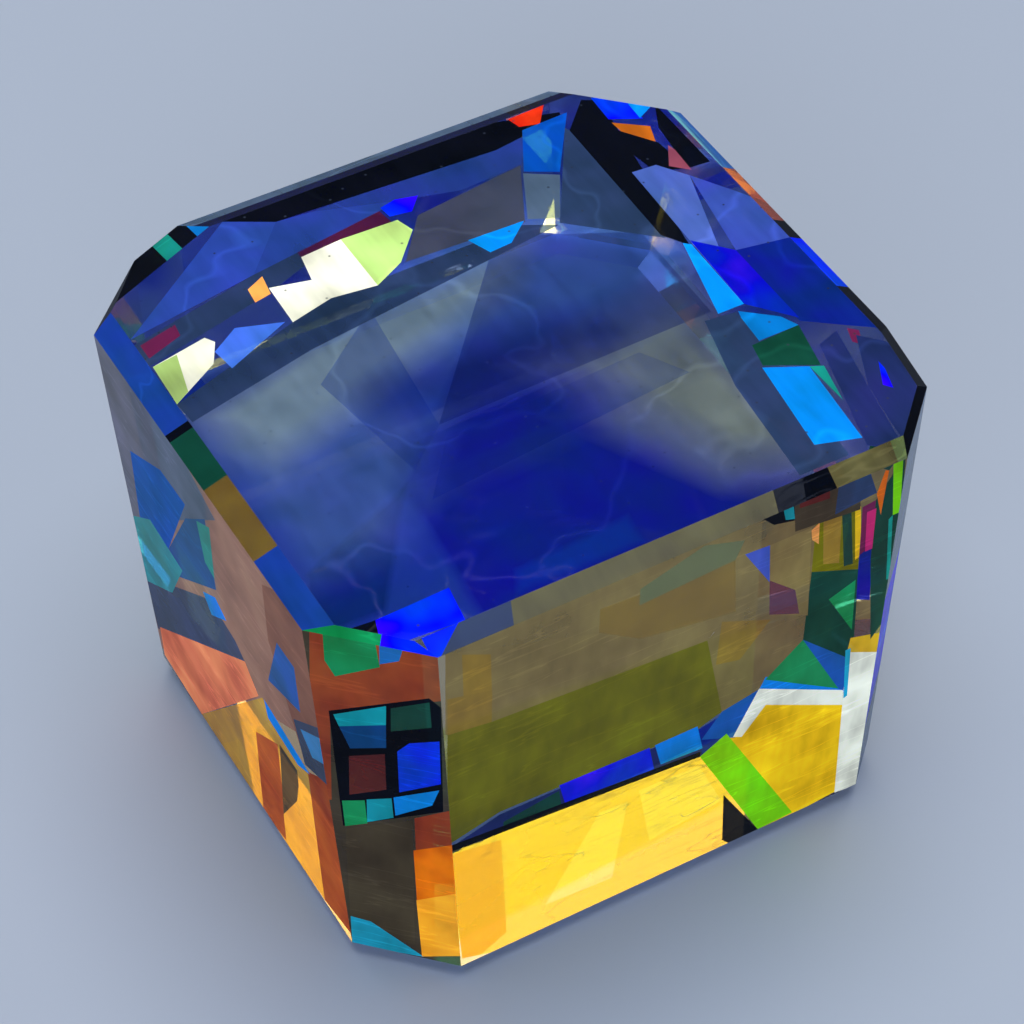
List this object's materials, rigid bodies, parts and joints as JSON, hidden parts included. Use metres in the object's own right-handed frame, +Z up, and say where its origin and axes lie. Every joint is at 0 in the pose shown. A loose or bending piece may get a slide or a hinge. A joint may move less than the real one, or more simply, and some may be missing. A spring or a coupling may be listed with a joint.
{
  "type": "faceted gemstone",
  "caption": "Large step-cut faceted gemstone with a broad flat table, tall straight walls and cut corners; display piece that rests on its flat underside.",
  "frame": {"origin": "centre of the flat facet underneath that the stone rests on, below the middle of its bounding box", "axes": "+Z up towards the table; -Y faces the broad front wall; +X towards the right wall"},
  "size_m": [0.032, 0.0308, 0.0253],
  "materials": {
    "coated_topaz": "polished clear crystal with a thin iridescent coating that shows blue, gold, orange and green"
  },
  "bodies": {
    "root": {"gemstone": "coated_topaz"}
  },
  "joints": []
}
